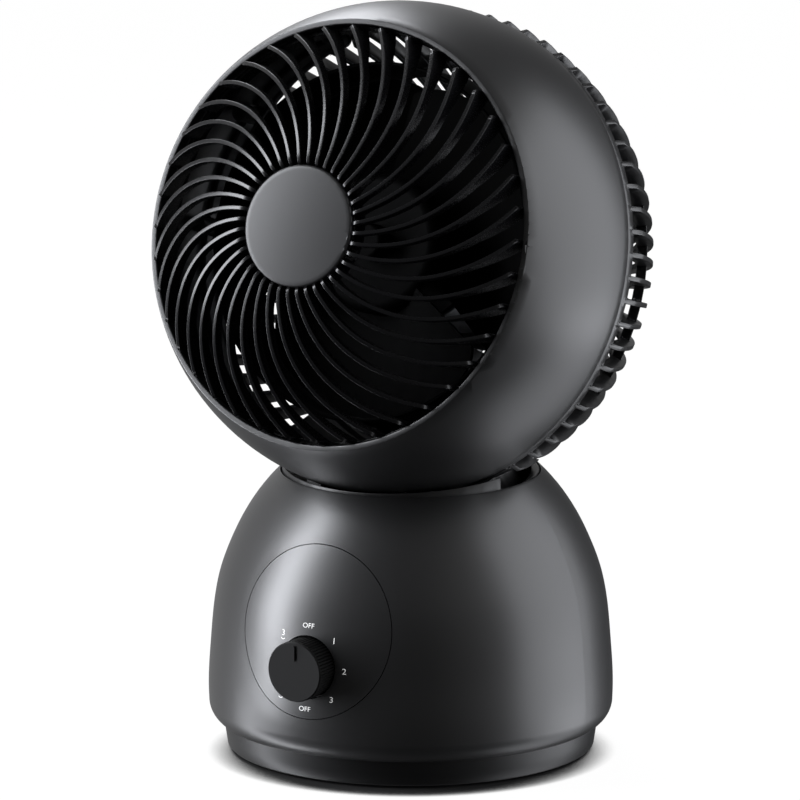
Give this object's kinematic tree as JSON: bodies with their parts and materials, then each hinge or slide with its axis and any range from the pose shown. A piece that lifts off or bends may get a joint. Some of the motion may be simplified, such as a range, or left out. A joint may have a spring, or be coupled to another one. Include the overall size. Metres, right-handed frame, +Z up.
{
  "type": "air circulator fan",
  "caption": "Table-top air circulator: ball-shaped head with a swirled dome grille, tilting in a cradle that swings on a domed base with a rotary knob.",
  "frame": {"origin": "on the floor, under the vertical axis of the base", "axes": "+Z up, -Y out of the front where the knob and the grille face, +X to the right as seen from the front"},
  "size_m": [0.2408, 0.2264, 0.369],
  "materials": {
    "shell_plastic": "satin",
    "cover_plastic": "satin",
    "cradle_plastic": "satin",
    "grille_plastic": "satin",
    "cap_plastic": "satin",
    "inner_plastic": "satin",
    "knob_plastic": "matte",
    "plate_plastic": "matte",
    "nylon": "satin",
    "switch_plastic": "satin",
    "capacitor_case": "gloss",
    "rubber": "matte",
    "screw_steel": "zinc plated",
    "shaft_steel": "ground",
    "core_steel": "laminated",
    "motor_can": "cast",
    "copper": "enamelled",
    "bronze": "sintered",
    "cast_iron": "painted"
  },
  "bodies": {
    "base": {"base_shell": "shell_plastic", "control_panel": "shell_plastic", "rotary_switch": "switch_plastic", "switch_nut": "screw_steel", "bearing_deck": "plate_plastic", "deck_screws": "screw_steel", "thrust_washer": "nylon", "oscillation_motor": "motor_can", "oscillation_motor_screws": "screw_steel", "base_plate": "plate_plastic", "base_screws": "screw_steel", "rubber_feet": "rubber", "ballast_weight": "cast_iron", "ballast_screws": "screw_steel", "cord_gland": "rubber", "terminal_block": "switch_plastic", "capacitor": "capacitor_case"},
    "cradle": {"cradle": "cradle_plastic", "cradle_screws": "screw_steel", "tilt_glides": "nylon", "turntable": "plate_plastic", "ring_gear": "nylon", "gear_screws": "screw_steel", "spindle_washer": "screw_steel", "spindle_nut": "screw_steel"},
    "pinion": {"oscillation_pinion": "nylon", "pinion_shaft": "shaft_steel"},
    "head": {"front_shell": "shell_plastic", "front_grille": "grille_plastic", "hub_cap": "cap_plastic", "duct_ring": "inner_plastic", "duct_screws": "screw_steel", "rear_cover": "cover_plastic", "head_screws": "screw_steel", "rear_cap": "cover_plastic", "motor_front_bracket": "motor_can", "motor_rear_bracket": "motor_can", "motor_screws": "screw_steel", "motor_bushes": "bronze", "motor_stator": "core_steel", "motor_windings": "copper", "tilt_stem": "plate_plastic", "tilt_shoe": "plate_plastic", "shoe_screws": "screw_steel"},
    "fan": {"motor_shaft": "shaft_steel", "motor_rotor": "core_steel", "impeller": "inner_plastic", "impeller_nut": "inner_plastic"},
    "knob": {"knob": "knob_plastic", "switch_shaft": "shaft_steel"}
  },
  "joints": [
    {"name": "oscillation", "type": "hinge", "parent": "base", "child": "cradle", "pos_m": [0, 0, 0.109], "axis": [0, 0, 1], "range_deg": [-40, 40]},
    {"name": "oscillation_drive", "type": "hinge", "parent": "base", "child": "pinion", "pos_m": [0, 0.0525, 0.1], "axis": [0, 0, 1], "range_deg": [-165, 165]},
    {"name": "tilt", "type": "hinge", "parent": "cradle", "child": "head", "pos_m": [0, -0.0105, 0.249], "axis": [-1, 0, 0], "range_deg": [-13, 18]},
    {"name": "fan_spin", "type": "hinge", "parent": "head", "child": "fan", "pos_m": [0, -0.0105, 0.249], "axis": [0, -0.9598, 0.2807], "continuous": true},
    {"name": "knob_turn", "type": "hinge", "parent": "base", "child": "knob", "pos_m": [0, -0.1, 0.0587], "axis": [0, -1, 0], "continuous": true}
  ],
  "couplings": [
    {"joint": "oscillation_drive", "follows": "oscillation", "ratio": -4}
  ]
}
